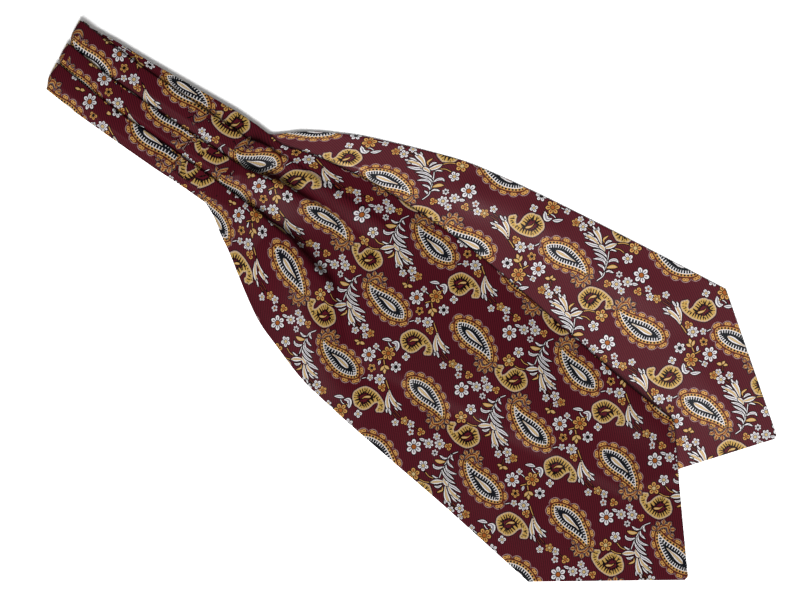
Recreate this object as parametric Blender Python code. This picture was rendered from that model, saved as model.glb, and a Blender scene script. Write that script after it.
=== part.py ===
"""A silk cravat, folded in half at the back of its neck and laid flat with its two blades fanned apart.

The long axis is X, from the neck fold at -X to the points at +X. Z is up, and the cloth lies on Z = 0.
Each half is a pleated neckband that opens into a wide, pointed blade. Every piece is a wall of folded
silk: a row of cross-sections, each a line of cloth given half a wall of thickness on both sides.
Sizes below are in millimetres.
"""

import math

import bmesh
import bpy

MM = 0.001

# Driving dimensions
WALL = 1.0  # a face and a facing of silk, turned and pressed
GAP = 0.3  # air between two layers that lie on each other
TURN_RADIUS = 0.15  # of the innermost surface at the neck fold
PITCH = WALL + GAP  # from one layer of a pleat to the next
PLEAT_ROLL = PITCH / 2  # radius of a pressed fold, at the middle of the wall
BASE = TURN_RADIUS + WALL / 2  # middle of a pleat's lowest layer, above its half's own ground
STACK = TURN_RADIUS + 2 * PITCH + WALL  # top of three layers, above the same ground
FRONT_GROUND = STACK + GAP  # of the front neckband, above the table
NECK_END = -305.8  # the outside of the neck fold
NECK_SLANT = 0.1  # how far the fold leans, for each millimetre across the band
NECK_SLANT_FADE = 60.0
FLAT_GROUND = TURN_RADIUS + WALL  # of one layer that lies on the table
STEP_RUN = 12.0  # how far the front blade takes to come down beside the back one
STEP_CLEAR = 1.2
SLACK = 0.3  # strip of air kept in each pleat's shortest stretch

# How finely a cross-section is cut
ARC_STEPS = 4
CLIMB_STEPS = 4
TURN_STEPS = 4

# The neckband: place along X, then the near edge, the three folds and the far edge along Y,
# and how deep each pleat is tucked
BAND_COLUMNS = ("x", "near", "fold_3", "fold_2", "fold_1", "far", "depth")
BAND = (
    (-303.9, -28.1, -7.9, 8.6, 28.1, 26.8, 10.6),
    (-273.9, -30.4, -10.5, 5.6, 25.9, 30.0, 10.6),
    (-243.9, -31.1, -12.8, 4.5, 24.8, 31.5, 11.0),
    (-198.9, -31.9, -13.5, 4.1, 24.8, 34.9, 11.6),
    (-168.9, -31.5, -13.9, 4.9, 25.1, 37.1, 12.0),
    (-151.1, -31.9, -14.6, 4.9, 24.4, 37.1, 12.0),
)
TACKED_WIDTH = 69.0  # of the band where the blades begin

# The blades: the two ends of each cross-section, then how open the pleats are there, from 0 to FLAT_STAGE
BLADE_COLUMNS = ("near_x", "near_y", "far_x", "far_y", "stage")
FRONT_BLADE = (
    (-150.8, -31.9, -150.8, 37.1, 0.0),
    (-139.7, -37.1, -139.7, 36.4, 1.0),
    (-128.4, -45.0, -127.7, 35.3, 2.0),
    (-116.4, -52.1, -114.9, 39.0, 3.0),
    (-101.4, -62.3, -98.4, 43.1, 4.0),
    (-85.7, -72.8, -81.2, 45.8, 5.0),
    (-67.7, -83.3, -60.2, 49.1, 6.0),
    (-46.7, -91.1, -36.2, 50.3, 7.0),
    (-18.9, -100.5, -6.2, 51.4, 8.0),
    (14.8, -106.5, 31.3, 52.5, 9.0),
    (67.3, -113.3, 87.6, 45.4, 9.0),
    (123.6, -120.0, 145.3, 36.8, 9.0),
    (172.3, -126.8, 194.4, 30.8, 9.0),
    (208.7, -132.0, 230.8, 28.5, 9.0),
)
FRONT_TIP = (306.84, -64.0)
BACK_BLADE = (
    (-150.8, -31.9, -150.8, 37.1, 0.0),
    (-139.9, -36.0, -140.1, 36.8, 1.0),
    (-130.0, -40.0, -132.2, 42.4, 2.0),
    (-120.0, -44.0, -123.9, 49.5, 3.0),
    (-106.0, -49.0, -111.9, 57.8, 4.0),
    (-90.5, -53.5, -98.4, 65.6, 5.0),
    (-72.0, -57.0, -81.9, 74.3, 6.0),
    (-50.0, -59.5, -61.7, 82.5, 7.0),
    (-22.0, -60.5, -36.9, 91.9, 9.0),
    (10.0, -58.5, -7.7, 101.6, 9.0),
    (46.0, -54.0, 26.1, 108.4, 9.0),
    (99.0, -47.3, 78.6, 116.3, 9.0),
    (152.0, -40.5, 131.1, 123.0, 9.0),
    (197.0, -34.7, 176.1, 128.3, 9.0),
    (229.5, -30.5, 208.7, 132.0, 9.0),
)
BACK_TIP = (302.8, 61.5)

# How each pleat opens from the tacking row on, one row a stage: how far its crest lies from the
# near edge, how many degrees the cloth turns over there, the roll's radius and the straight part tucked in
PLEAT_COLUMNS = ("crest", "turn", "roll", "tuck")
FRONT_PLEATS = (
    (
        (17.3, 180, 0.65, 10.7),
        (22.1, 180, 0.9, 7.0),
        (29.6, 180, 1.2, 3.0),
        (36.0, 165, 1.5, 0.5),
        (44.6, 130, 1.7, 0.5),
        (53.6, 100, 1.8, 0.5),
        (58.5, 75, 2.4, 0.5),
        (58.5, 45, 3.5, 0.5),
        (60.0, 20, 5.0, 0.5),
    ),
    (
        (36.8, 180, 0.65, 10.7),
        (42.4, 170, 1.1, 2.0),
        (52.5, 120, 1.6, 0.5),
        (62.3, 85, 2.0, 0.5),
        (75.0, 55, 2.6, 0.5),
        (87.0, 30, 3.5, 0.5),
        (97.0, 20, 4.0, 0.5),
        (102.0, 18, 4.0, 0.5),
        (106.0, 18, 4.0, 0.5),
    ),
    (
        (56.3, 180, 0.65, 10.7),
        (64.9, 140, 1.0, 0.5),
        (73.5, 70, 1.5, 0.5),
        (81.4, 35, 2.2, 0.5),
        (92.0, 20, 3.0, 0.5),
        (103.0, 18, 3.0, 0.5),
        (114.0, 18, 3.0, 0.5),
        (122.0, 18, 3.0, 0.5),
        (130.0, 18, 3.0, 0.5),
    ),
)
# The back blade's pleats are pressed flat under the front one and open evenly
BACK_OPENING = (
    (180, 0.65, 10.7),
    (180, 0.65, 7.0),
    (180, 0.65, 3.0),
    (150, 0.65, 0.5),
    (100, 0.65, 0.5),
    (60, 0.8, 0.5),
    (30, 1.0, 0.5),
    (20, 1.2, 0.5),
)
LAST_PLEATED_STAGE = 7.0
FLAT_STAGE = 9.0

# Soft swells of the open blades: centre, half length, half breadth, direction in degrees and height
SWELL_COLUMNS = ("x", "y", "along", "across", "direction", "height")
FRONT_SWELLS = (
    (196.0, 22.0, 34.0, 13.0, -8.0, 2.6),
    (75.0, -20.0, 60.0, 24.0, -8.0, 1.6),
    (120.0, -88.0, 52.0, 12.0, -8.0, 1.4),
    (-58.0, -52.0, 30.0, 13.0, -35.0, 2.4),
    (-40.0, 28.0, 34.0, 9.0, 12.0, 2.0),
)
BACK_SWELLS = (
    (14.0, 86.0, 15.0, 9.0, 12.0, 2.2),
    (62.0, 95.0, 20.0, 9.0, 8.0, 1.8),
    (150.0, 96.0, 36.0, 11.0, 8.0, 1.5),
    (236.0, 66.0, 26.0, 12.0, -20.0, 1.4),
)

# The cross-sections of a blade's point, as shares of the way from its corners to its tip
TIP_SHARES = (0.14, 0.28, 0.42, 0.56, 0.7, 0.85, 0.985)
LONGEST_SPAN = 32.0  # between two cross-sections of a flat blade
SHARP_ANGLE = 40.0  # degrees, past which an edge of the wall is drawn sharp

SILK = (0.115, 0.018, 0.028, 1.0)
SILK_BELOW = (0.095, 0.014, 0.024, 1.0)


def smooth(share):
    """0 to 1, level at both ends."""
    share = min(1.0, max(0.0, share))
    return share * share * (3 - 2 * share)


def between(low, high, share):
    return low + (high - low) * share


def read_row(table, columns, place):
    """A row of a table as a dictionary, where place counts rows and may fall between two."""
    first = min(len(table) - 1, max(0, int(place)))
    second = min(len(table) - 1, first + 1)
    share = place - first
    values = [between(a, b, share) for a, b in zip(table[first], table[second])]
    return dict(zip(columns, values))


def look_up(places, values, at):
    """The value at a place, straight between those given and level beyond them."""
    if at <= places[0]:
        return values[0]
    for i in range(1, len(places)):
        if at <= places[i]:
            share = (at - places[i - 1]) / (places[i] - places[i - 1])
            return between(values[i - 1], values[i], share)
    return values[-1]


def drop_of(turn, roll, tuck):
    """How far a pleat comes down from its crest to its ground."""
    return 2 * roll * (1 - math.cos(turn)) + tuck * math.sin(turn)


def climb(start, end, height):
    """The cloth's rise from the lowest layer to the next crest."""
    if end < start + 2 * SLACK:
        middle = (start + end) / 2
        start, end = middle - SLACK, middle + SLACK
    shares = [i / CLIMB_STEPS for i in range(CLIMB_STEPS + 1)]
    return [(between(start, end, s), BASE + height * smooth(s)) for s in shares]


def pleat_section(near, far, folds):
    """The middle line of the pleated cloth from its near edge to its far edge, as (across, height).

    Each fold is (tip, turn, roll, tuck). The strip on the near side of it lies on top.
    """
    clear = WALL / 2 + GAP + 0.1
    line = [(near, BASE)]
    ground_from = near + SLACK
    for tip, turn, roll, tuck in folds:
        height = drop_of(turn, roll, tuck)
        start = tip - roll * math.sin(min(turn, math.pi / 2))
        end = start + 2 * roll * math.sin(turn) + tuck * math.cos(turn)
        ready = start - SLACK
        if turn > math.pi / 2:
            ready = min(ready, end - roll - clear)
        line += climb(ground_from, ready, height)
        for i in range(ARC_STEPS + 1):
            angle = turn * i / ARC_STEPS
            rise = height - roll * (1 - math.cos(angle))
            line.append((start + roll * math.sin(angle), BASE + rise))
        for i in range(ARC_STEPS + 1):
            angle = turn * (1 - i / ARC_STEPS)
            line.append((end - roll * math.sin(angle), BASE + roll * (1 - math.cos(angle))))
        ground_from = end + SLACK
        if turn > math.pi / 2:
            ground_from = max(ground_from, tip + clear)
    line.append((between(line[-1][0], far, 0.6), BASE))
    line.append((far, BASE))
    return line


def cloth_shares(line):
    """How far along the cloth each point of a section lies, from 0 to 1."""
    lengths = [0.0]
    for (a, b), (c, d) in zip(line, line[1:]):
        lengths.append(lengths[-1] + math.hypot(c - a, d - b))
    return [length / lengths[-1] for length in lengths]


def band_section(x):
    """The neckband's section at a place along X."""
    places = [row[0] for row in BAND]
    row = {name: look_up(places, [r[i] for r in BAND], x) for i, name in enumerate(BAND_COLUMNS)}
    tuck = row["depth"] - 2 * PLEAT_ROLL
    folds = [(row[name], math.pi, PLEAT_ROLL, tuck) for name in ("fold_3", "fold_2", "fold_1")]
    return pleat_section(row["near"], row["far"], folds)


def front_folds(stage, _width):
    """The front blade's three pleats at a stage."""
    folds = []
    for table in FRONT_PLEATS:
        row = read_row(table, PLEAT_COLUMNS, stage)
        folds.append((row["crest"], math.radians(row["turn"]), row["roll"], row["tuck"]))
    return folds


def back_folds(stage, width):
    """The back blade's three pleats at a stage, as far apart as the front band's."""
    closed = [rows[0][0] / TACKED_WIDTH for rows in FRONT_PLEATS]
    row = read_row(BACK_OPENING, PLEAT_COLUMNS[1:], stage)
    return [(share * width, math.radians(row["turn"]), row["roll"], row["tuck"]) for share in closed]


def flat_share(stage):
    """How far the cloth has spread out from its pleats, from 0 to 1."""
    return smooth((stage - LAST_PLEATED_STAGE) / (FLAT_STAGE - LAST_PLEATED_STAGE))


def blade_section(row, folds_at):
    """A blade's section as (across, height), pleated at first and flat from the last stage on."""
    width = math.hypot(row["far_x"] - row["near_x"], row["far_y"] - row["near_y"])
    closed = pleat_section(0.0, TACKED_WIDTH, folds_at(0.0, TACKED_WIDTH))
    flat = [(share * width, BASE) for share in cloth_shares(closed)]
    spread = flat_share(row["stage"])
    if spread >= 1.0:
        return flat
    pleated = pleat_section(0.0, width, folds_at(row["stage"], width))
    return [
        (between(a, c, spread), between(b, d, spread)) for (a, b), (c, d) in zip(pleated, flat)
    ]


def swell(table, x, y):
    """The height of the soft swells at a point."""
    height = 0.0
    for values in table:
        row = dict(zip(SWELL_COLUMNS, values))
        angle = math.radians(row["direction"])
        dx, dy = x - row["x"], y - row["y"]
        along = (dx * math.cos(angle) + dy * math.sin(angle)) / row["along"]
        across = (dy * math.cos(angle) - dx * math.sin(angle)) / row["across"]
        height += row["height"] * math.exp(-(along * along + across * across) / 2)
    return height


def back_height(x):
    """The back blade's own ground: the level that its pleats hang down from."""
    places, values = [], []
    for values_at in BACK_BLADE:
        row = dict(zip(BLADE_COLUMNS, values_at))
        places.append((row["near_x"] + row["far_x"]) / 2)
        opening = read_row(BACK_OPENING, PLEAT_COLUMNS[1:], min(row["stage"], len(BACK_OPENING) - 1))
        drop = drop_of(math.radians(opening["turn"]), opening["roll"], opening["tuck"])
        values.append(FLAT_GROUND + drop * (1 - flat_share(row["stage"])))
    return look_up(places, values, x)


def inside_back(x, y):
    """How far a point lies inside the back blade's near edge and the near side of its tip."""
    edge = look_up([row[0] for row in BACK_BLADE], [row[1] for row in BACK_BLADE], x)
    corner_x, corner_y = BACK_BLADE[-1][0], BACK_BLADE[-1][1]
    side_x, side_y = BACK_TIP[0] - corner_x, BACK_TIP[1] - corner_y
    side = math.hypot(side_x, side_y)
    past_side = ((y - corner_y) * side_x - (x - corner_x) * side_y) / side
    return min(y - edge, past_side) if x < corner_x else past_side


def front_ground(x, y):
    """The front blade's ground: on the back blade, and down on the table beside it."""
    on_back = back_height(x)
    on_back += GAP * smooth((on_back - FLAT_GROUND) / GAP)
    step = smooth((inside_back(x, y) + STEP_CLEAR + STEP_RUN) / STEP_RUN)
    return between(-TURN_RADIUS, on_back, step)


def split_rows(table, tip):
    """A blade's cross-sections with more set between those far apart, and those of its point."""
    rows = []
    for first, second in zip(table, table[1:]):
        span = math.hypot(second[0] - first[0], second[1] - first[1])
        count = max(1, math.ceil(span / LONGEST_SPAN))
        for i in range(count):
            rows.append([between(a, b, i / count) for a, b in zip(first, second)])
    rows.append(list(table[-1]))
    for share in TIP_SHARES:
        corner = table[-1]
        near = [between(corner[i], tip[i], share) for i in (0, 1)]
        far = [between(corner[i + 2], tip[i], share) for i in (0, 1)]
        rows.append(near + far + [corner[4]])
    return [dict(zip(BLADE_COLUMNS, row)) for row in rows]


def walled(line):
    """The closed outline of a wall about a middle line: over it, round its far edge, back and round."""
    over, under = [], []
    last = len(line) - 1
    for i, (y, z) in enumerate(line):
        before = line[max(0, i - 1)]
        after = line[min(last, i + 1)]
        first = math.atan2(z - before[1], y - before[0]) if i > 0 else None
        second = math.atan2(after[1] - z, after[0] - y) if i < last else None
        first = second if first is None else first
        second = first if second is None else second
        bend = math.remainder(second - first, 2 * math.pi)
        angle = first + bend / 2 + math.pi / 2
        reach = WALL / 2 / math.cos(bend / 2)
        over.append((y + reach * math.cos(angle), z + reach * math.sin(angle)))
        under.append((y - reach * math.cos(angle), z - reach * math.sin(angle)))
    edge = WALL / 4
    return (line[0][0] - edge, line[0][1]), over, (line[-1][0] + edge, line[-1][1]), under


def solid_from(name, rings, material):
    """A closed solid from rings of (near point, points over, far point, points under)."""
    mesh = bmesh.new()
    loops = []
    for near, over, far, under in rings:
        ring = [near] + over + [far] + under[::-1]
        loops.append([mesh.verts.new([value * MM for value in point]) for point in ring])
    size = len(loops[0])
    for first, second in zip(loops, loops[1:]):
        for i in range(size):
            j = (i + 1) % size
            mesh.faces.new((first[i], first[j], second[j], second[i]))
    points = (size - 2) // 2
    for loop in (loops[0], loops[-1]):
        mesh.faces.new((loop[0], loop[1], loop[-1]))
        mesh.faces.new((loop[points], loop[points + 1], loop[points + 2]))
        for i in range(1, points):
            mesh.faces.new((loop[i], loop[i + 1], loop[-i - 1], loop[-i]))
    bmesh.ops.recalc_face_normals(mesh, faces=mesh.faces)
    data = bpy.data.meshes.new(name)
    mesh.to_mesh(data)
    mesh.free()
    data.shade_smooth()
    data.set_sharp_from_angle(angle=math.radians(SHARP_ANGLE))
    data.materials.append(material)
    piece = bpy.data.objects.new(name, data)
    bpy.context.scene.collection.objects.link(piece)
    return piece


def placed(parts, place):
    """A wall's outline with each of its points put in space."""
    near, over, far, under = parts
    return place(near), [place(p) for p in over], place(far), [place(p) for p in under]


def blade(name, table, tip, folds_at, ground, swells, up, material):
    """One open blade. up is 1 where pleats rise from the ground level and -1 where they hang from it."""
    rings = []
    for row in split_rows(table, tip):
        width = math.hypot(row["far_x"] - row["near_x"], row["far_y"] - row["near_y"])
        across_x = (row["far_x"] - row["near_x"]) / width
        across_y = (row["far_y"] - row["near_y"]) / width
        line = []
        for across, height in blade_section(row, folds_at):
            x = row["near_x"] + across * across_x
            y = row["near_y"] + across * across_y
            line.append((across, ground(x, y) + up * height + swell(swells, x, y)))

        def place(point, row=row, across_x=across_x, across_y=across_y):
            return (
                row["near_x"] + point[0] * across_x,
                row["near_y"] + point[0] * across_y,
                max(0.0, point[1]),
            )

        rings.append(placed(walled(line), place))
    return solid_from(name, rings, material)


def neckband(name, ground, up, material):
    """Half of the pleated band, from the tacking row to the centre back seam in the neck fold."""
    turn_x = NECK_END + STACK
    stations = [(row[0], 0.0) for row in reversed(BAND) if row[0] > turn_x]
    stations += [(turn_x, math.pi / 2 * i / TURN_STEPS) for i in range(TURN_STEPS + 1)]
    rings = []
    for x, angle in stations:
        lean = NECK_SLANT * smooth(1 - (x - turn_x) / NECK_SLANT_FADE)

        def place(point, x=x, angle=angle, lean=lean):
            y, height = point
            return (
                x - height * math.sin(angle) + lean * (BAND[0][4] - y),
                y,
                ground + up * height * math.cos(angle),
            )

        rings.append(placed(walled(band_section(x)), place))
    return solid_from(name, rings, material)


def silk(name, colour):
    material = bpy.data.materials.new(name)
    material.use_nodes = True
    shader = material.node_tree.nodes["Principled BSDF"]
    shader.inputs["Base Color"].default_value = colour
    shader.inputs["Roughness"].default_value = 0.48
    shader.inputs["Metallic"].default_value = 0.0
    return material


def main():
    for thing in list(bpy.data.objects):
        bpy.data.objects.remove(thing)
    above = silk("burgundy silk", SILK)
    below = silk("burgundy silk below", SILK_BELOW)
    neckband("neckband_front", FRONT_GROUND, 1, above)
    neckband("neckband_back", STACK, -1, below)
    blade("blade_front", FRONT_BLADE, FRONT_TIP, front_folds, front_ground, FRONT_SWELLS, 1, above)
    blade(
        "blade_back",
        BACK_BLADE,
        BACK_TIP,
        back_folds,
        lambda x, y: back_height(x),
        BACK_SWELLS,
        -1,
        below,
    )


main()
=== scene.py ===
"""A silk cravat, folded in half at the back of its neck and laid flat with its two blades fanned apart.

Sizes are in millimetres until a mesh is made. X runs from the neck fold to the points, and Z is up.
The cloth has its own coordinates: along it from the middle of the front blade, and across it.
"""

import math

import bpy
import numpy as np
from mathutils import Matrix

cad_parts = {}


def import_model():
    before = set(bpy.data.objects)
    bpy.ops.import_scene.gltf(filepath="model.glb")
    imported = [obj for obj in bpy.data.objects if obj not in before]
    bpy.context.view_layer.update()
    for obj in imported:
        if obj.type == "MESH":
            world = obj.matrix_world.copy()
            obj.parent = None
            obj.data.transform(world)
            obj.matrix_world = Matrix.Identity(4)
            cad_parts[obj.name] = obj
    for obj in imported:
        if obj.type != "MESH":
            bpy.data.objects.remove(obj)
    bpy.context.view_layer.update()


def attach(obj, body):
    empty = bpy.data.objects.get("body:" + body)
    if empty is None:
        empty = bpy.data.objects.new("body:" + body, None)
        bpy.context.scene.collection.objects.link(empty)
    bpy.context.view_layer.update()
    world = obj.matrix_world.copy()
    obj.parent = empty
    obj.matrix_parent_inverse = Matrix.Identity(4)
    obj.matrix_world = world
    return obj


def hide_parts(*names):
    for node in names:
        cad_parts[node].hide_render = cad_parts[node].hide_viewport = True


MM = 0.001

# Driving dimensions, the same as in the solids
WALL = 1.0
GAP = 0.3
TURN_RADIUS = 0.15
PITCH = WALL + GAP
PLEAT_ROLL = PITCH / 2
BASE = TURN_RADIUS + WALL / 2
STACK = TURN_RADIUS + 2 * PITCH + WALL
FRONT_GROUND = STACK + GAP
NECK_END = -305.8
NECK_SLANT = 0.1
NECK_SLANT_FADE = 60.0
FLAT_GROUND = TURN_RADIUS + WALL
STEP_RUN = 12.0
STEP_CLEAR = 1.2
SLACK = 0.3
SILK_WALL = 0.9  # as thick as the silk shows, about the same middle

# How finely a cross-section is cut
ARC_STEPS = 8
CLIMB_STEPS = 10
TUCK_STEPS = 5
LAST_STEPS = 7
TURN_STEPS = 8
EDGE_STEPS = 3
SECTION_SPACING = 1.6

# The neckband: place along X, then the near edge, the three folds and the far edge along Y,
# and how deep each pleat is tucked
BAND_COLUMNS = ("x", "near", "fold_3", "fold_2", "fold_1", "far", "depth")
BAND = (
    (-303.9, -28.1, -7.9, 8.6, 28.1, 26.8, 10.6),
    (-273.9, -30.4, -10.5, 5.6, 25.9, 30.0, 10.6),
    (-243.9, -31.1, -12.8, 4.5, 24.8, 31.5, 11.0),
    (-198.9, -31.9, -13.5, 4.1, 24.8, 34.9, 11.6),
    (-168.9, -31.5, -13.9, 4.9, 25.1, 37.1, 12.0),
    (-150.8, -31.9, -14.6, 4.9, 24.4, 37.1, 12.0),
)
TACKED_WIDTH = 69.0

# The blades: the two ends of each cross-section, then how open the pleats are there, from 0 to FLAT_STAGE
FRONT_BLADE = (
    (-150.8, -31.9, -150.8, 37.1, 0.0),
    (-139.7, -37.1, -139.7, 36.4, 1.0),
    (-128.4, -45.0, -127.7, 35.3, 2.0),
    (-116.4, -52.1, -114.9, 39.0, 3.0),
    (-101.4, -62.3, -98.4, 43.1, 4.0),
    (-85.7, -72.8, -81.2, 45.8, 5.0),
    (-67.7, -83.3, -60.2, 49.1, 6.0),
    (-46.7, -91.1, -36.2, 50.6, 7.0),
    (-18.9, -100.5, -6.2, 50.9, 8.0),
    (14.8, -106.5, 31.3, 50.0, 9.0),
    (67.3, -113.3, 87.6, 44.2, 9.0),
    (123.6, -120.0, 145.3, 36.8, 9.0),
    (172.3, -126.8, 194.4, 30.8, 9.0),
    (208.7, -132.0, 230.8, 28.5, 9.0),
)
FRONT_TIP = (306.84, -64.0)
BACK_BLADE = (
    (-150.8, -31.9, -150.8, 37.1, 0.0),
    (-139.9, -36.0, -140.1, 36.8, 1.0),
    (-130.0, -40.0, -132.2, 42.4, 2.0),
    (-120.0, -44.0, -123.9, 49.5, 3.0),
    (-106.0, -49.0, -111.9, 57.8, 4.0),
    (-90.5, -53.5, -98.4, 65.6, 5.0),
    (-72.0, -57.0, -81.9, 74.3, 6.0),
    (-50.0, -59.5, -61.7, 82.5, 7.0),
    (-22.0, -60.5, -36.9, 91.9, 9.0),
    (10.0, -58.5, -7.7, 101.6, 9.0),
    (46.0, -54.0, 26.1, 108.4, 9.0),
    (99.0, -47.3, 78.6, 116.3, 9.0),
    (152.0, -40.5, 131.1, 123.0, 9.0),
    (197.0, -34.7, 176.1, 128.3, 9.0),
    (229.5, -30.5, 208.7, 132.0, 9.0),
)
BACK_TIP = (302.8, 61.5)
LAST_TIP_SHARE = 0.985

# How each pleat opens from the tacking row on, one row a stage: how far its crest lies from the
# near edge, how many degrees the cloth turns over there, the roll's radius and the straight part tucked in
FRONT_PLEATS = (
    (
        (17.3, 180, 0.65, 10.7),
        (22.1, 180, 0.9, 7.0),
        (29.6, 180, 1.2, 3.0),
        (36.0, 165, 1.5, 0.5),
        (44.6, 130, 1.7, 0.5),
        (54.5, 115, 3.0, 0.5),
        (60.5, 88, 5.0, 0.5),
        (63.5, 68, 6.5, 0.5),
        (65.0, 34, 8.0, 0.5),
    ),
    (
        (36.8, 180, 0.65, 10.7),
        (42.4, 165, 1.4, 1.0),
        (53.0, 130, 2.3, 0.5),
        (63.5, 110, 3.2, 0.5),
        (74.5, 78, 3.8, 0.5),
        (87.0, 42, 4.4, 0.5),
        (97.0, 20, 4.0, 0.5),
        (102.0, 18, 4.0, 0.5),
        (106.0, 18, 4.0, 0.5),
    ),
    (
        (56.3, 180, 0.65, 10.7),
        (64.9, 140, 1.0, 0.5),
        (73.5, 70, 1.5, 0.5),
        (81.4, 35, 2.2, 0.5),
        (92.0, 30, 4.0, 0.5),
        (103.0, 32, 4.5, 0.5),
        (114.0, 30, 5.0, 0.5),
        (122.0, 24, 5.0, 0.5),
        (130.0, 18, 3.0, 0.5),
    ),
)
BACK_OPENING = (
    (180, 0.65, 10.7),
    (180, 0.65, 7.0),
    (180, 0.65, 3.0),
    (150, 0.65, 0.5),
    (100, 0.65, 0.5),
    (60, 0.8, 0.5),
    (30, 1.0, 0.5),
    (20, 1.2, 0.5),
)
LAST_PLEATED_STAGE = 7.0
FLAT_STAGE = 9.0

# Soft swells of the open blades: centre, half length, half breadth, direction in degrees and height
FRONT_SWELLS = (
    (196.0, 22.0, 34.0, 13.0, -8.0, 2.6),
    (75.0, -20.0, 60.0, 24.0, -8.0, 1.6),
    (120.0, -88.0, 52.0, 12.0, -8.0, 1.4),
    (-58.0, -52.0, 30.0, 13.0, -35.0, 2.4),
    (-40.0, 28.0, 34.0, 9.0, 12.0, 2.0),
    (-18.0, -80.0, 36.0, 11.0, -20.0, 4.0),
)
BACK_SWELLS = (
    (14.0, 86.0, 15.0, 9.0, 12.0, 2.2),
    (62.0, 95.0, 20.0, 9.0, 8.0, 1.8),
    (150.0, 96.0, 36.0, 11.0, 8.0, 1.5),
    (236.0, 66.0, 26.0, 12.0, -20.0, 1.4),
)

# Where the cloth's own coordinates lie: along it for each place on the band and blade, and across it
# at the near edge, at each fold's crest and where each next strip comes into view, and at the far edge
FRONT_ALONG = (
    (-303.9, -309.3),
    (-266.4, -273.6),
    (-152.0, -164.6),
    (-124.7, -130.4),
    (-104.4, -110.0),
    (-73.3, -81.0),
    (-30.0, -36.5),
    (0.0, -5.2),
    (30.0, 25.9),
    (60.0, 56.7),
    (90.0, 87.2),
    (147.0, 143.9),
    (308.0, 304.0),
)
BACK_ALONG = (
    (-303.9, 397.4),
    (90.0, 10.4),
    (130.0, -31.0),
    (180.0, -80.4),
    (308.0, -207.4),
)
FRONT_ACROSS = (
    (-304.0, -106.0, -87.0, -52.0, -34.7, 0.0, 20.5, 17.0, 27.0),
    (-200.0, -106.0, -87.5, -53.0, -34.8, -1.0, 19.5, 16.0, 27.0),
    (-151.0, -108.0, -89.5, -54.0, -35.0, -2.0, 17.0, 15.0, 27.0),
    (-140.0, -111.0, -86.0, -54.0, -34.0, -5.0, 15.0, 15.5, 21.0),
    (-128.0, -114.5, -84.0, -53.5, -31.0, -6.0, 8.0, 10.0, 16.0),
    (-116.0, -118.0, -81.0, -54.0, -28.5, -9.0, 4.0, 6.0, 13.5),
    (-100.0, -122.5, -78.0, -56.0, -26.0, -12.5, -1.0, 1.0, 13.5),
    (-83.0, -128.5, -75.0, -59.0, -27.0, -17.0, -5.0, -3.0, 13.0),
    (-64.0, -133.5, -73.0, -63.0, -29.5, -20.5, -8.0, -6.0, 12.5),
    (-41.0, -138.5, -71.0, -66.0, -32.0, -23.0, -10.0, -8.0, 12.0),
    (0.0, -141.8, -68.5, -63.5, -30.0, -21.0, -7.0, -5.0, 14.0),
    (30.0, -142.5, -66.0, -61.0, -27.0, -18.0, -4.0, -2.0, 16.3),
    (90.0, -142.8, -66.0, -61.0, -27.0, -18.0, -4.0, -2.0, 17.0),
    (150.0, -143.0, -66.0, -61.0, -27.0, -18.0, -4.0, -2.0, 17.8),
)
BACK_ACROSS = ((60.0, 131.2, -31.8), (180.0, 131.3, -31.7), (215.0, 133.2, -29.8))

# How much further along the cloth lies for each millimetre across it, at places along X
FRONT_SKEW = ((-60.0, 0.0), (0.0, -0.012), (30.0, 0.005), (60.0, 0.018), (90.0, 0.028))
FRONT_MIDDLE = -62.0


def smooth(share):
    """0 to 1, level at both ends."""
    share = np.clip(share, 0.0, 1.0)
    return share * share * (3 - 2 * share)


def between(low, high, share):
    return low + (high - low) * share


def look_up(table, at, column=1):
    """One column of a table at a place in its first column, straight between rows."""
    return float(np.interp(at, [row[0] for row in table], [row[column] for row in table]))


def curve_through(places, rows, at):
    """The rows of a table, joined by smooth curves and read at the places asked for."""
    places = np.asarray(places, float)
    rows = np.asarray(rows, float)
    steps = np.diff(places)
    secants = np.diff(rows, axis=0) / steps[:, None]
    slopes = np.vstack([secants[:1], secants, secants[-1:]])[:-1]
    inner = secants[:-1] * steps[1:, None] + secants[1:] * steps[:-1, None]
    slopes[1:-1] = inner / (steps[1:] + steps[:-1])[:, None]
    i = np.clip(np.searchsorted(places, at, "right") - 1, 0, len(places) - 2)
    step = steps[i][:, None]
    t = ((at - places[i]) / steps[i])[:, None]
    first = rows[i] * (2 * t**3 - 3 * t**2 + 1) + slopes[i] * step * (t**3 - 2 * t**2 + t)
    second = rows[i + 1] * (3 * t**2 - 2 * t**3) + slopes[i + 1] * step * (t**3 - t**2)
    return first + second


def drop_of(turn, roll, tuck):
    """How far a pleat comes down from its crest to its ground."""
    return 2 * roll * (1 - math.cos(turn)) + tuck * math.sin(turn)


def climb(start, end, height):
    """The cloth's rise from the lowest layer to the next crest."""
    if end < start + 2 * SLACK:
        middle = (start + end) / 2
        start, end = middle - SLACK, middle + SLACK
    shares = np.linspace(0, 1, CLIMB_STEPS + 1)
    return [(between(start, end, s), BASE + height * float(smooth(s))) for s in shares]


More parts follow.
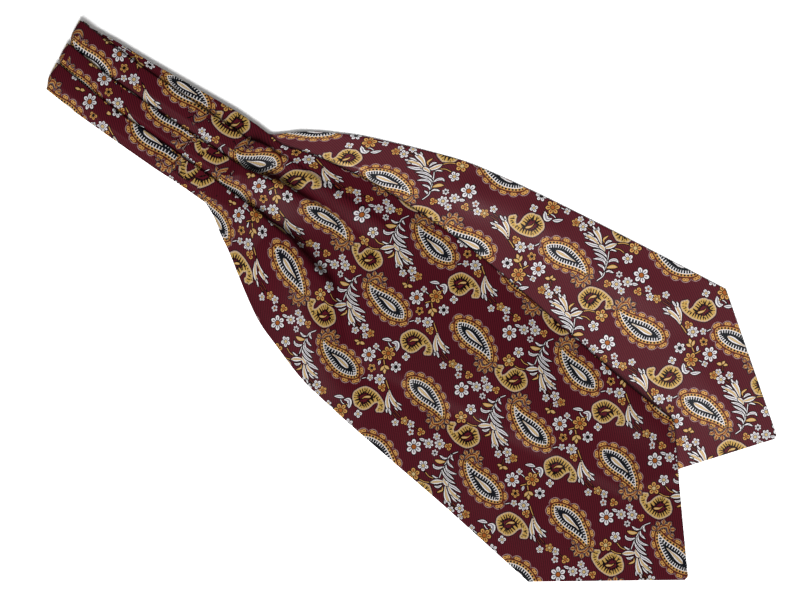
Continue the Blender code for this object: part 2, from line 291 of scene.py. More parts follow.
def pleat_section(near, far, folds):
    """The middle line of the pleated cloth as (across, height), and where its crests and next strips are."""
    clear = WALL / 2 + GAP + 0.1
    line = [(near, BASE)]
    marks = [0]
    ground_from = near + SLACK
    for tip, turn, roll, tuck in folds:
        height = drop_of(turn, roll, tuck)
        start = tip - roll * math.sin(min(turn, math.pi / 2))
        end = start + 2 * roll * math.sin(turn) + tuck * math.cos(turn)
        ready = start - SLACK
        if turn > math.pi / 2:
            ready = min(ready, end - roll - clear)
        line += climb(ground_from, ready, height)
        for i in range(ARC_STEPS + 1):
            angle = turn * i / ARC_STEPS
            rise = height - roll * (1 - math.cos(angle))
            line.append((start + roll * math.sin(angle), BASE + rise))
            if i == ARC_STEPS // 2:
                marks.append(len(line) - 1)
        top = line[-1]
        bottom = (end - roll * math.sin(turn), BASE + roll * (1 - math.cos(turn)))
        for i in range(1, TUCK_STEPS):
            share = i / TUCK_STEPS
            line.append((between(top[0], bottom[0], share), between(top[1], bottom[1], share)))
        for i in range(ARC_STEPS + 1):
            angle = turn * (1 - i / ARC_STEPS)
            line.append((end - roll * math.sin(angle), BASE + roll * (1 - math.cos(angle))))
        ground_from = end + SLACK
        if turn > math.pi / 2:
            ground_from = max(ground_from, tip + clear)
        line.append((max(end + 0.5 * SLACK, min(tip, ground_from - 0.5 * SLACK)), BASE))
        marks.append(len(line) - 1)
    start = line[-1][0]
    for i in range(1, LAST_STEPS + 1):
        line.append((between(start, far, i / LAST_STEPS), BASE))
    marks.append(len(line) - 1)
    return np.array(line), marks


def lengths_along(line):
    """How far along the cloth each point of a section lies."""
    steps = np.hypot(np.diff(line[:, 0]), np.diff(line[:, 1]))
    return np.concatenate([[0.0], np.cumsum(steps)])


def band_section(x):
    """The neckband's section at a place along X."""
    row = {name: look_up(BAND, x, i) for i, name in enumerate(BAND_COLUMNS)}
    tuck = row["depth"] - 2 * PLEAT_ROLL
    folds = [(row[name], math.pi, PLEAT_ROLL, tuck) for name in ("fold_3", "fold_2", "fold_1")]
    return pleat_section(row["near"], row["far"], folds)


def at_stage(table, stage):
    """A row of a table with one row a stage."""
    stages = range(len(table))
    return [float(np.interp(stage, stages, [row[i] for row in table])) for i in range(len(table[0]))]


def front_folds(stage, _width):
    """The front blade's three pleats at a stage."""
    folds = []
    for table in FRONT_PLEATS:
        crest, turn, roll, tuck = at_stage(table, stage)
        folds.append((crest, math.radians(turn), roll, tuck))
    return folds


def back_folds(stage, width):
    """The back blade's three pleats at a stage, as far apart as the front band's."""
    closed = [rows[0][0] / TACKED_WIDTH for rows in FRONT_PLEATS]
    turn, roll, tuck = at_stage(BACK_OPENING, stage)
    return [(share * width, math.radians(turn), roll, tuck) for share in closed]


def flat_share(stage):
    """How far the cloth has spread out from its pleats, from 0 to 1."""
    return float(smooth((stage - LAST_PLEATED_STAGE) / (FLAT_STAGE - LAST_PLEATED_STAGE)))


def blade_section(width, stage, folds_at):
    """A blade's section, pleated at first and flat from the last stage on, with its marks."""
    closed, marks = pleat_section(0.0, TACKED_WIDTH, folds_at(0.0, TACKED_WIDTH))
    shares = lengths_along(closed)
    flat = np.column_stack([shares / shares[-1] * width, np.full(len(closed), BASE)])
    spread = flat_share(stage)
    if spread >= 1.0:
        return flat, marks
    pleated, marks = pleat_section(0.0, width, folds_at(stage, width))
    return between(pleated, flat, spread), marks


def hills(table, x, y):
    """The height of a table of soft swells at many points."""
    height = np.zeros(np.shape(x))
    for centre_x, centre_y, long_half, short_half, direction, top in table:
        angle = math.radians(direction)
        dx, dy = x - centre_x, y - centre_y
        along = (dx * math.cos(angle) + dy * math.sin(angle)) / long_half
        across = (dy * math.cos(angle) - dx * math.sin(angle)) / short_half
        height = height + top * np.exp(-(along * along + across * across) / 2)
    return height


def back_levels():
    """The back blade's own ground along X: the level that its pleats hang down from."""
    places, values = [], []
    for near_x, _, far_x, _, stage in BACK_BLADE:
        turn, roll, tuck = at_stage(BACK_OPENING, min(stage, len(BACK_OPENING) - 1))
        drop = drop_of(math.radians(turn), roll, tuck)
        places.append((near_x + far_x) / 2)
        values.append(FLAT_GROUND + drop * (1 - flat_share(stage)))
    return places, values


BACK_LEVELS = back_levels()


def back_height(x, _y):
    return np.interp(x, *BACK_LEVELS)


def inside_back(x, y):
    """How far points lie inside the back blade's near edge and the near side of its tip."""
    edge = np.interp(x, [row[0] for row in BACK_BLADE], [row[1] for row in BACK_BLADE])
    corner_x, corner_y = BACK_BLADE[-1][0], BACK_BLADE[-1][1]
    side_x, side_y = BACK_TIP[0] - corner_x, BACK_TIP[1] - corner_y
    past_side = ((y - corner_y) * side_x - (x - corner_x) * side_y) / math.hypot(side_x, side_y)
    return np.where(x < corner_x, np.minimum(y - edge, past_side), past_side)


def front_ground(x, y):
    """The front blade's ground: on the back blade, and down on the table beside it."""
    on_back = back_height(x, y)
    on_back = on_back + GAP * smooth((on_back - FLAT_GROUND) / GAP)
    step = smooth((inside_back(x, y) + STEP_CLEAR + STEP_RUN) / STEP_RUN)
    return between(-TURN_RADIUS, on_back, step)


def walled(line):
    """A wall about a middle line: over it, round its far edge, below it and round its near edge."""
    directions = np.diff(line, axis=0)
    angles = np.arctan2(directions[:, 1], directions[:, 0])
    first = np.concatenate([angles[:1], angles])
    second = np.concatenate([angles, angles[-1:]])
    bend = (second - first + np.pi) % (2 * np.pi) - np.pi
    normal = first + bend / 2 + np.pi / 2
    reach = SILK_WALL / 2 / np.cos(np.clip(bend / 2, -1.2, 1.2))
    offset = np.column_stack([np.cos(normal), np.sin(normal)]) * reach[:, None]
    turns = np.linspace(0, np.pi, EDGE_STEPS + 2)[1:-1]
    half = SILK_WALL / 2
    far = line[-1] + half * np.column_stack([np.sin(turns), np.cos(turns)])
    near = line[0] - half * np.column_stack([np.sin(turns), np.cos(turns)])
    return np.vstack([line + offset, far, (line - offset)[::-1], near])


def around(values):
    """Values of the middle line, given to every point of the wall about it."""
    far = np.repeat(values[-1:], EDGE_STEPS, axis=0)
    near = np.repeat(values[:1], EDGE_STEPS, axis=0)
    return np.concatenate([values, far, values[::-1], near])


def resampled(line, across_cloth, shares):
    """A section and its cloth coordinate, read at the given shares of the cloth's length."""
    lengths = lengths_along(line)
    at = shares * lengths[-1]
    points = np.column_stack([np.interp(at, lengths, line[:, i]) for i in (0, 1)])
    return points, np.interp(at, lengths, across_cloth)


def front_across(line, marks, x, stage):
    """The cloth coordinate across the front half at each point of a section."""
    places = [row[0] for row in FRONT_ACROSS]
    knots = [np.interp(x, places, [row[i] for row in FRONT_ACROSS]) for i in range(1, 9)]
    lengths = lengths_along(line)
    folded = np.interp(lengths, lengths[marks], knots)
    level = between(knots[0], knots[-1], lengths / lengths[-1])
    return between(folded, level, smooth((stage - 5.5) / 3.0))


def back_across(line, _marks, x, _stage):
    """The cloth coordinate across the back half, which lies turned round."""
    lengths = lengths_along(line)
    near, far = look_up(BACK_ACROSS, x), look_up(BACK_ACROSS, x, 2)
    return between(near, far, lengths / lengths[-1])


def blade_rows(table):
    """The cross-sections of a blade up to its corners, close together, on smooth edges."""
    rows = np.array(table)
    middles = (rows[:, 0:2] + rows[:, 2:4]) / 2
    places = np.concatenate([[0.0], np.cumsum(np.hypot(*np.diff(middles, axis=0).T))])
    count = math.ceil(places[-1] / SECTION_SPACING)
    found = curve_through(places, rows, np.linspace(0, places[-1], count + 1))
    found[:, 4] = np.clip(found[:, 4], 0.0, FLAT_STAGE)
    return found


def tip_rows(table, tip):
    """The cross-sections of a blade's point, each as (near, far) and its share of the way."""
    corner = np.array(table[-1])
    tip = np.array(tip)
    reach = np.hypot(*(tip - (corner[0:2] + corner[2:4]) / 2))
    count = math.ceil(reach / SECTION_SPACING)
    rows = []
    for share in np.linspace(0, LAST_TIP_SHARE, count + 1)[1:]:
        near = between(corner[0:2], tip, share)
        far = between(corner[2:4], tip, share)
        rows.append([*near, *far, corner[4]])
    return np.array(rows)


def front_skew(x, across):
    return look_up(FRONT_SKEW, x) * (across - FRONT_MIDDLE)


def blade_rings(table, tip, folds_at, along, skew, across_of, ground, swells, up):
    """The rings of a blade's wall in space, and the cloth coordinates of their points."""
    rings, cloth = [], []
    body = blade_rows(table)
    corner = body[-1]
    corner_across = (corner[2:4] - corner[0:2]) / np.hypot(*(corner[2:4] - corner[0:2]))
    corner_along = np.array([corner_across[1], -corner_across[0]])
    way = math.copysign(1.0, along[-1][1] - along[0][1])
    for row in np.vstack([body, tip_rows(table, tip)]):
        near, far, stage = row[0:2], row[2:4], row[4]
        width = np.hypot(*(far - near))
        direction = (far - near) / width
        line, marks = blade_section(width, stage, folds_at)
        middle_x = (near[0] + far[0]) / 2
        across = across_of(line, marks, middle_x, stage)
        lengths = lengths_along(line)
        own = lengths / lengths[-1]
        even = np.linspace(0, 1, len(own))
        shares = between(own, even, smooth((stage - 4.0) / 5.0))
        line, across = resampled(line, across, shares)
        x = near[0] + line[:, 0] * direction[0]
        y = near[1] + line[:, 0] * direction[1]
        height = ground(x, y) + up * line[:, 1] + swells(x, y)
        along_at = look_up(along, middle_x) + skew(middle_x, across)
        if len(rings) >= len(body):
            offset = np.column_stack([x, y]) - corner[0:2]
            corner_x = (corner[0] + corner[2]) / 2
            across = cloth[len(body) - 1][0, 1] + way * (offset @ corner_across)
            along_at = look_up(along, corner_x) + way * (offset @ corner_along)
            along_at = along_at + skew(corner_x, across)
        wall = walled(np.column_stack([line[:, 0], height]))
        ring = np.column_stack(
            [
                near[0] + wall[:, 0] * direction[0],
                near[1] + wall[:, 0] * direction[1],
                np.maximum(0.02, wall[:, 1]),
            ]
        )
        rings.append(ring)
        cloth.append(around(np.column_stack([along_at, across])))
    return np.array(rings), np.array(cloth)


def neckband_rings(along, across_of, ground, up):
    """The rings of half the pleated band, from the tacking row to the centre back seam in the neck fold."""
    turn_x = NECK_END + STACK
    start = BAND[-1][0]
    count = math.ceil((start - turn_x) / SECTION_SPACING)
    stations = [(x, 0.0) for x in np.linspace(start, turn_x, count + 1)]
    stations += [(turn_x, math.pi / 2 * i / TURN_STEPS) for i in range(1, TURN_STEPS + 1)]
    rings, cloth = [], []
    for x, angle in stations:
        line, marks = band_section(x)
        across = across_of(line, marks, x, 0.0)
        wall = walled(line)
        lean = NECK_SLANT * float(smooth(1 - (x - turn_x) / NECK_SLANT_FADE))
        ring = np.column_stack(
            [
                x - wall[:, 1] * math.sin(angle) + lean * (BAND[0][4] - wall[:, 0]),
                wall[:, 0],
                ground + up * wall[:, 1] * math.cos(angle),
            ]
        )
        rings.append(ring)
        along_at = look_up(along, x) - angle * STACK
        cloth.append(around(np.column_stack([np.full(len(line), along_at), across])))
    return np.array(rings), np.array(cloth)


def shell_faces(rings, size):
    """The faces of a closed shell of rings, as lists of vertex numbers."""
    i = np.arange(rings - 1)[:, None]
    j = np.arange(size)[None, :]
    k = (j + 1) % size
    sides = np.stack([i * size + j, i * size + k, (i + 1) * size + k, (i + 1) * size + j], axis=-1)
    faces = sides.reshape(-1, 4).tolist()
    points = (size - 2 * EDGE_STEPS) // 2
    for first in (0, (rings - 1) * size):
        over = [first + i for i in range(points)]
        far = [first + points + i for i in range(EDGE_STEPS)]
        under = [first + points + EDGE_STEPS + i for i in range(points)][::-1]
        near = [first + 2 * points + EDGE_STEPS + i for i in range(EDGE_STEPS)]
        caps = [[over[i], over[i + 1], under[i + 1], under[i]] for i in range(points - 1)]
        caps += [[over[-1], *far, under[-1]], [under[0], *near, over[0]]]
        faces += caps if first else [cap[::-1] for cap in caps]
    return faces


def signed_volume(points, faces):
    total = 0.0
    quads = np.array([face for face in faces if len(face) == 4])
    for a, b, c in ((0, 1, 2), (0, 2, 3)):
        first, second, third = points[quads[:, a]], points[quads[:, b]], points[quads[:, c]]
        total += np.einsum("ij,ij->i", first, np.cross(second, third)).sum()
    return total


def sharpen_ends(data, count, size):
    """Keeps the flat ends of a shell out of its smooth shading."""
    ends = np.empty(2 * len(data.edges), np.int32)
    data.edges.foreach_get("vertices", ends)
    ends = ends.reshape(-1, 2)
    at_end = (ends < size).all(axis=1) | (ends >= count - size).all(axis=1)
    data.attributes.new("sharp_edge", "BOOLEAN", "EDGE").data.foreach_set("value", at_end)


def shell(name, rings, cloth):
    """A smooth mesh object from rings, with its cloth coordinates as a UV map in metres."""
    points = rings.reshape(-1, 3) * MM
    faces = shell_faces(rings.shape[0], rings.shape[1])
    if signed_volume(points, faces) < 0:
        faces = [face[::-1] for face in faces]
    data = bpy.data.meshes.new(name)
    data.from_pydata(points.tolist(), [], faces)
    data.shade_smooth()
    sharpen_ends(data, len(points), rings.shape[1])
    corners = np.empty(len(data.loops), np.int32)
    data.loops.foreach_get("vertex_index", corners)
    places = cloth.reshape(-1, 2)[corners]
    layer = data.uv_layers.new(name="cloth")
    layer.data.foreach_set("uv", (places * MM).ravel())
    chart_pattern(data, places)
    piece = bpy.data.objects.new(name, data)
    bpy.context.scene.collection.objects.link(piece)
    return piece


# The woven pattern: one repeat of the cloth, in its own coordinates
REPEAT = np.array([143.2, 56.0])
FAR = 30.0  # an offset at which nothing is drawn
SILVER, GOLD, SILVER_ON_GOLD, RUST, EDGED = 0.0, 1.0, 2.0, 3.0, 4.0  # what a leaf or stem is woven in

# Large and small paisleys: centre along and across, and whether it is turned round
LARGE_PAISLEYS = ((-1.2, 0.2, 0), (66.1, -32.5, 1))
SMALL_PAISLEYS = ((33.0, -7.5, 0), (-34.4, -37.3, 1))
LARGE_OUTLINE = (
    (18.5, 0.6),
    (16.0, 4.2),
    (11.6, 6.9),
    (5.0, 8.3),
    (-1.6, 8.2),
    (-8.5, 7.1),
    (-14.5, 6.5),
    (-19.6, 6.9),
    (-22.2, 6.6),
    (-21.8, 3.2),
    (-18.4, -0.9),
    (-13.2, -4.3),
    (-7.5, -6.7),
    (-1.6, -8.4),
    (5.0, -8.5),
    (11.2, -7.0),
    (15.8, -4.6),
    (18.2, -2.2),
)
SMALL_OUTLINE = (
    (-10.2, -3.1),
    (-9.1, 1.0),
    (-7.8, 3.5),
    (-5.8, 5.7),
    (-2.7, 6.9),
    (0.4, 7.4),
    (3.6, 7.6),
    (7.0, 7.1),
    (9.8, 6.3),
    (12.6, 5.2),
    (14.5, 3.5),
    (15.8, 1.3),
    (15.9, -0.5),
    (14.2, -2.0),
    (12.6, -3.0),
    (11.4, -2.4),
    (11.2, -0.9),
    (10.4, 1.3),
    (9.0, 2.6),
    (7.6, 1.6),
    (6.8, -0.6),
    (6.5, -3.1),
    (5.8, -5.6),
    (4.2, -8.1),
    (1.7, -9.6),
    (-0.5, -9.7),
    (-3.3, -10.0),
    (-5.8, -8.6),
    (-8.6, -6.5),
)

# How the half width of a leaf, stem or drop runs from its root to its tip
LEAF = (0.15, 0.7, 1.0, 0.85, 0.05)
STEM = (1.0, 1.0, 1.0, 1.0, 1.0)
DROP = (0.2, 0.35, 0.75, 1.0, 0.75)
FAN = (0.25, 0.55, 0.85, 1.0, 0.7)
HOOK = (0.7, 0.9, 1.0, 1.0, 0.7)
LOBE = (0.75, 0.95, 1.0, 0.9, 0.7)

# What belongs to each paisley: weave, profile, half width and the points of its middle line from the centre
LARGE_TRIM = (
    (EDGED, HOOK, 1.75, ((-22.6, 5.9), (-22.3, 9.2), (-20.6, 11.9), (-17.9, 13.2), (-14.3, 10.5))),
    (EDGED, LOBE, 2.2, ((-24.4, 5.2), (-26.2, 5.4))),
    (EDGED, LOBE, 2.2, ((-24.2, 9.3), (-26.0, 10.2))),
    (EDGED, LOBE, 2.2, ((-22.2, 12.8), (-23.2, 14.4))),
    (EDGED, LOBE, 2.2, ((-18.4, 14.6), (-18.4, 16.4))),
    (EDGED, LOBE, 2.0, ((-14.6, 13.2), (-13.2, 14.8))),
    (EDGED, LOBE, 1.7, ((-12.2, 10.4), (-10.6, 10.8))),
    (SILVER_ON_GOLD, DROP, 2.1, ((-8.6, 0.6), (-1.0, 0.4), (7.0, -0.1))),
)
SMALL_TRIM = ((GOLD, DROP, 1.0, ((-2.4, -3.4), (-1.4, -0.6), (1.4, 2.0))),)

# The leafy branch, the twin leaf, the sprays and the stems between flowers
LEAVES = (
    (SILVER, STEM, 0.35, ((-31.2, 6.6), (-33.4, 2.4), (-33.9, -0.1), (-33.0, -4.8), (-31.8, -10.9))),
    (SILVER, STEM, 0.35, ((-31.8, -10.9), (-29.4, -17.6))),
    (SILVER, LEAF, 0.8, ((-33.4, 2.6), (-32.3, 0.2), (-29.2, -0.9))),
    (SILVER, LEAF, 0.8, ((-33.5, -2.3), (-30.9, -4.7), (-25.7, -4.9))),
    (SILVER, LEAF, 0.8, ((-33.9, -1.9), (-36.2, -4.1), (-40.3, -4.5))),
    (GOLD, LEAF, 1.5, ((-33.5, -5.3), (-37.0, -8.2), (-40.7, -9.6))),
    (SILVER, LEAF, 1.1, ((-32.4, -9.2), (-34.4, -12.3), (-37.3, -13.7), (-40.0, -12.5))),
    (SILVER, LEAF, 0.9, ((-32.4, -6.2), (-29.4, -8.9), (-25.1, -8.7), (-20.9, -6.7))),
    (SILVER, LEAF, 0.9, ((-32.3, -8.0), (-30.1, -10.3), (-25.9, -11.3), (-19.6, -11.3))),
    (SILVER, LEAF, 1.0, ((-31.6, -11.6), (-28.0, -13.5), (-23.0, -14.2), (-17.0, -12.9))),
    (SILVER, LEAF, 1.3, ((-24.4, -16.0), (-19.4, -16.5), (-15.9, -15.8), (-9.6, -15.2))),
    (SILVER_ON_GOLD, FAN, 1.7, ((-26.9, -15.8), (-24.5, -17.2), (-21.4, -17.9))),
    (SILVER_ON_GOLD, FAN, 2.0, ((-21.4, -17.4), (-15.9, -19.9), (-9.2, -20.2))),
    (SILVER, LEAF, 0.6, ((-11.4, -18.9), (-7.8, -18.2))),
    (SILVER, LEAF, 0.9, ((-10.6, -20.6), (-5.3, -20.5))),
    (SILVER, LEAF, 0.6, ((-14.8, -21.8), (-11.5, -22.8), (-7.4, -22.9))),
    (SILVER_ON_GOLD, FAN, 2.1, ((-22.0, -19.4), (-16.8, -24.4), (-11.6, -27.0))),
    (SILVER, LEAF, 0.8, ((-13.0, -26.6), (-9.2, -28.8))),
    (SILVER, LEAF, 0.9, ((-16.4, -26.0), (-13.4, -30.2))),
    (SILVER_ON_GOLD, LEAF, 1.8, ((-24.6, -17.3), (-28.2, -20.4), (-32.5, -24.9))),
    (SILVER, LEAF, 0.9, ((-24.2, -20.3), (-25.8, -23.6), (-28.4, -25.0))),
    (GOLD, LEAF, 0.8, ((-23.6, -21.0), (-21.9, -23.4), (-23.9, -27.6))),
    (SILVER, LEAF, 0.6, ((-29.9, -17.8), (-31.4, -19.2), (-35.2, -19.8))),
    (GOLD, STEM, 0.35, ((-32.6, -20.9), (-36.2, -21.9), (-40.5, -21.2))),
    (GOLD, STEM, 0.35, ((-32.3, -24.8), (-36.2, -27.3), (-40.5, -28.4))),
    (RUST, STEM, 0.35, ((-10.3, -25.2), (-4.8, -25.9))),
    (RUST, STEM, 0.35, ((-8.8, -27.2), (-5.3, -27.8))),
    (RUST, STEM, 0.35, ((-2.0, -30.6), (0.8, -35.0))),
    (GOLD, LEAF, 1.2, ((1.6, -35.6), (-3.0, -36.8))),
    (GOLD, LEAF, 1.2, ((1.2, -35.3), (0.6, -38.6))),
    (GOLD, LEAF, 1.4, ((0.8, -35.6), (5.2, -34.2))),
    (GOLD, STEM, 0.5, ((24.0, -23.8), (24.5, -20.8))),
    (SILVER, LEAF, 1.9, ((20.6, -19.9), (24.0, -17.9), (27.8, -22.6))),
    (SILVER, STEM, 0.35, ((18.0, -21.4), (21.0, -22.5), (23.6, -22.2))),
    (SILVER, LEAF, 1.3, ((13.0, -22.9), (16.6, -20.2), (19.8, -18.8))),
    (SILVER, STEM, 0.35, ((15.0, -30.2), (18.6, -30.2))),
    (GOLD, LEAF, 1.1, ((23.4, -31.0), (23.2, -34.4))),
    (GOLD, STEM, 0.4, ((23.0, -33.2), (20.4, -37.0))),
    (GOLD, STEM, 0.45, ((23.8, -33.2), (27.7, -36.5))),
    (GOLD, LEAF, 1.4, ((27.2, -36.6), (32.2, -36.2))),
    (GOLD, LEAF, 1.5, ((27.4, -36.8), (31.8, -41.2))),
    (GOLD, LEAF, 1.3, ((27.4, -36.6), (27.8, -41.6))),
    (SILVER, LEAF, 1.2, ((22.2, -35.4), (23.8, -39.2))),
    (GOLD, STEM, 0.4, ((35.4, 12.2), (38.0, 10.4), (41.8, 8.2))),
    (SILVER_ON_GOLD, FAN, 1.9, ((41.8, 8.1), (47.5, 4.4), (55.4, 2.2))),
    (SILVER, LEAF, 0.6, ((52.4, 4.2), (57.4, 5.3))),
    (SILVER, LEAF, 0.9, ((54.2, 2.6), (59.8, 2.4))),
    (SILVER, LEAF, 0.6, ((53.6, 0.8), (57.8, 0.1))),
    (SILVER_ON_GOLD, FAN, 1.8, ((42.6, 6.6), (46.6, 0.6), (51.6, -3.4))),
    (SILVER, LEAF, 0.9, ((50.8, -2.6), (55.8, -5.6))),
    (SILVER, LEAF, 0.8, ((49.2, -3.2), (52.4, -6.6))),
    (RUST, STEM, 0.35, ((54.6, -0.9), (61.8, -2.0))),
    (RUST, STEM, 0.35, ((55.6, -3.4), (60.4, -4.6))),
    (RUST, STEM, 0.3, ((74.4, -0.6), (78.0, -0.6))),
    (SILVER, LEAF, 1.2, ((88.6, -3.0), (83.4, -5.0))),
    (SILVER, STEM, 0.35, ((22.6, 3.6), (20.6, 0.8))),
)

# Flowers: centre, radius, number of petals, direction in degrees, petals in silver or gold,
# and the colour of the eye from gold (0) over orange (1) to burgundy (2)
FLOWERS = (
    (-44.4, -18.6, 4.3, 5, 20, SILVER, 0),
    (-45.9, -28.2, 5.0, 5, 60, GOLD, 0),
    (-3.1, -24.8, 3.8, 5, 10, SILVER, 0),
    (3.3, -25.2, 3.4, 5, 0, GOLD, 1),
    (1.2, -29.0, 2.6, 5, 50, SILVER, 0),
    (-7.4, -30.6, 3.1, 5, 30, SILVER, 0),
    (23.8, -27.7, 5.6, 6, 30, GOLD, 1),
    (13.0, -29.8, 2.5, 4, 45, SILVER, 0),
    (35.8, -21.0, 3.2, 4, 45, SILVER, 0),
    (34.9, -31.8, 4.4, 6, 10, SILVER, 2),
    (12.8, -38.1, 6.0, 7, 22, SILVER, 1),
    (21.2, 11.8, 3.4, 5, 90, GOLD, 2),
    (31.6, 9.2, 4.6, 7, 0, SILVER, 0),
    (25.0, 5.6, 2.7, 5, 90, SILVER, 0),
    (37.0, 5.8, 3.3, 3, 90, GOLD, 1),
    (66.4, -2.0, 3.5, 5, 40, GOLD, 0),
    (71.6, -1.0, 3.3, 5, 0, SILVER, 0),
    (81.2, -0.4, 3.3, 3, 150, GOLD, 1),
    (75.3, -5.6, 2.8, 5, 0, SILVER, 1),
    (61.8, -7.6, 3.0, 5, 60, SILVER, 0),
    (92.5, 4.8, 3.0, 6, 0, SILVER, 0),
    (97.8, 2.0, 4.3, 7, 0, SILVER, 0),
    (104.0, 4.8, 3.1, 3, 200, GOLD, 1),
    (91.2, -3.2, 4.0, 7, 20, SILVER, 0),
    (99.2, -5.4, 2.6, 6, 0, SILVER, 2),
    (84.3, -12.3, 6.2, 6, 70, SILVER, 1),
)


def smooth_curve(controls, closed):
    """Points close together on a smooth curve through the controls."""
    controls = np.array(controls, float)
    if closed:
        controls = np.vstack([controls[-1:], controls, controls[:2]])
    else:
        controls = np.vstack([2 * controls[0] - controls[1], controls, 2 * controls[-1] - controls[-2]])
    shares = np.linspace(0, 1, 12, endpoint=False)[:, None]
    spans = []
    for i in range(1, len(controls) - 2):
        a, b, c, d = controls[i - 1 : i + 3]
        spans.append(
            b
            + shares * (c - a) / 2
            + shares**2 * (a - 2.5 * b + 2 * c - d / 2)
            + shares**3 * (1.5 * (b - c) + (d - a) / 2)
        )
    if not closed:
        spans.append(controls[-2:-1])
    return np.vstack(spans)


def measured(points, closed):
    """A curve as its points, directions, places along it and length."""
    ring = np.vstack([points, points[:1]]) if closed else points
    steps = np.diff(ring, axis=0)
    lengths = np.hypot(steps[:, 0], steps[:, 1])
    places = np.concatenate([[0.0], np.cumsum(lengths)])
    if closed:
        tangents = np.roll(points, -1, axis=0) - np.roll(points, 1, axis=0)
    else:
        tangents = np.gradient(points, axis=0)
    tangents = tangents / np.hypot(tangents[:, 0], tangents[:, 1])[:, None]
    return points, tangents, places[: len(points)], places[-1]


def beside(curve, places):
    """For each place: how far along a curve and how far to its left it lies, and the direction there."""
    points, tangents, along, _ = curve
    nearest = ((places[:, None, :] - points[None, :, :]) ** 2).sum(axis=2).argmin(axis=1)
    offset = places - points[nearest]
    direction = tangents[nearest]
    left = np.column_stack([-direction[:, 1], direction[:, 0]])
    forward = (offset * direction).sum(axis=1)
    return along[nearest] + forward, (offset * left).sum(axis=1), direction, left


def turning(points):
    """1 for a ring that runs anticlockwise, -1 for one that runs clockwise."""
    after = np.roll(points, -1, axis=0)
    return math.copysign(1.0, (points[:, 0] * after[:, 1] - points[:, 1] * after[:, 0]).sum())


def in_repeat(offset):
    """The same offset in the nearest repeat."""
    return (offset + REPEAT / 2) % REPEAT - REPEAT / 2


def spread(corner_faces, centres, corners, value, slope):
    """A face's value carried to its corners along its slope."""
    step = corners - centres[corner_faces]
    return value[corner_faces] + (step * slope[corner_faces]).sum(axis=1)


def paisley_layer(faces, corner_faces, corners):
    """Each corner's place along the nearest paisley's outline, its distance outside it, and the kind."""
    along = np.zeros(len(faces))
    out = np.full(len(faces), FAR)
    kind = np.zeros(len(faces))
    along_slope = np.zeros((len(faces), 2))
    out_slope = np.zeros((len(faces), 2))
    kinds = ((LARGE_OUTLINE, LARGE_PAISLEYS, 1.0), (SMALL_OUTLINE, SMALL_PAISLEYS, 2.0))
    for outline, places, number in kinds:
        curve = measured(smooth_curve(outline, True), True)
        outward = -turning(curve[0])
        for centre_u, centre_v, turned in places:
            sign = -1.0 if turned else 1.0
            local = in_repeat(faces - (centre_u, centre_v)) * sign
            near = np.nonzero(np.hypot(local[:, 0], local[:, 1]) < 30.0)[0]
            if not len(near):
                continue
            position, left, direction, normal = beside(curve, local[near])
            closer = left * outward < out[near]
            taken = near[closer]
            along[taken] = position[closer] / curve[3]
            out[taken] = left[closer] * outward
            kind[taken] = number
            along_slope[taken] = sign * direction[closer] / curve[3]
            out_slope[taken] = sign * outward * normal[closer]
    values = [
        spread(corner_faces, faces, corners, along, along_slope),
        spread(corner_faces, faces, corners, out, out_slope),
        kind[corner_faces],
    ]
    return np.column_stack(values)


def strokes():
    """Every leaf, stem and drop of one repeat as (weave, profile, half width, points)."""
    found = [(weave, profile, width, np.array(points)) for weave, profile, width, points in LEAVES]
    for places, trim in ((LARGE_PAISLEYS, LARGE_TRIM), (SMALL_PAISLEYS, SMALL_TRIM)):
        for centre_u, centre_v, turned in places:
            sign = -1.0 if turned else 1.0
            for weave, profile, width, points in trim:
                found.append((weave, profile, width, sign * np.array(points) + (centre_u, centre_v)))
    return found


def stroke_layer(chosen, faces, corner_faces, corners):
    """Each corner's offset from the nearest stroke's middle line, that stroke's half width and weave."""
    count = len(faces)
    best = np.full(count, -FAR)
    number = np.full(count, -1)
    along, left = np.zeros(count), np.full(count, FAR)
    along_slope, left_slope = np.zeros((count, 2)), np.zeros((count, 2))
    lengths = np.ones(len(chosen))
    for i, (_, profile, width, points) in enumerate(chosen):
        middle = points.mean(axis=0)
        curve = measured(smooth_curve(points - middle, False), False)
        lengths[i] = curve[3]
        local = in_repeat(faces - middle)
        reach = np.abs(curve[0]).max(axis=0) + width + 4.0
        near = np.nonzero((np.abs(local) < reach).all(axis=1))[0]
        if not len(near):
            continue
        position, offset, direction, normal = beside(curve, local[near])
        inside = half_width(position / curve[3], curve[3], np.array(profile)[None, :] * width)
        inside = inside - np.abs(offset)
        closer = inside > best[near]
        taken = near[closer]
        best[taken] = inside[closer]
        number[taken] = i
        along[taken], left[taken] = position[closer], offset[closer]
        along_slope[taken], left_slope[taken] = direction[closer], normal[closer]
    position = spread(corner_faces, faces, corners, along, along_slope)
    offset = spread(corner_faces, faces, corners, left, left_slope)
    profiles = np.array([np.array(profile) * width for _, profile, width, _ in chosen])
    weaves = np.array([weave for weave, _, _, _ in chosen])
    mine = number[corner_faces]
    drawn = mine >= 0
    width = np.full(len(mine), -FAR)
    width[drawn] = half_width(
        position[drawn] / lengths[mine[drawn]], lengths[mine[drawn]], profiles[mine[drawn]]
    )
    weave = np.where(drawn, weaves[mine], 0.0)
    return np.column_stack([offset, width, weave])


def half_width(share, length, profile):
    """A stroke's half width at a share of its length, falling off beyond its ends."""
    inside = np.clip(share, 0.0, 1.0)
    beyond = np.abs(share - inside) * length
    place = inside * (profile.shape[1] - 1)
    first = np.minimum(place.astype(int), profile.shape[1] - 2)
    rows = np.arange(len(share)) if profile.shape[0] > 1 else np.zeros(len(share), int)
    low, high = profile[rows, first], profile[rows, first + 1]
    return low + (high - low) * (place - first) - beyond


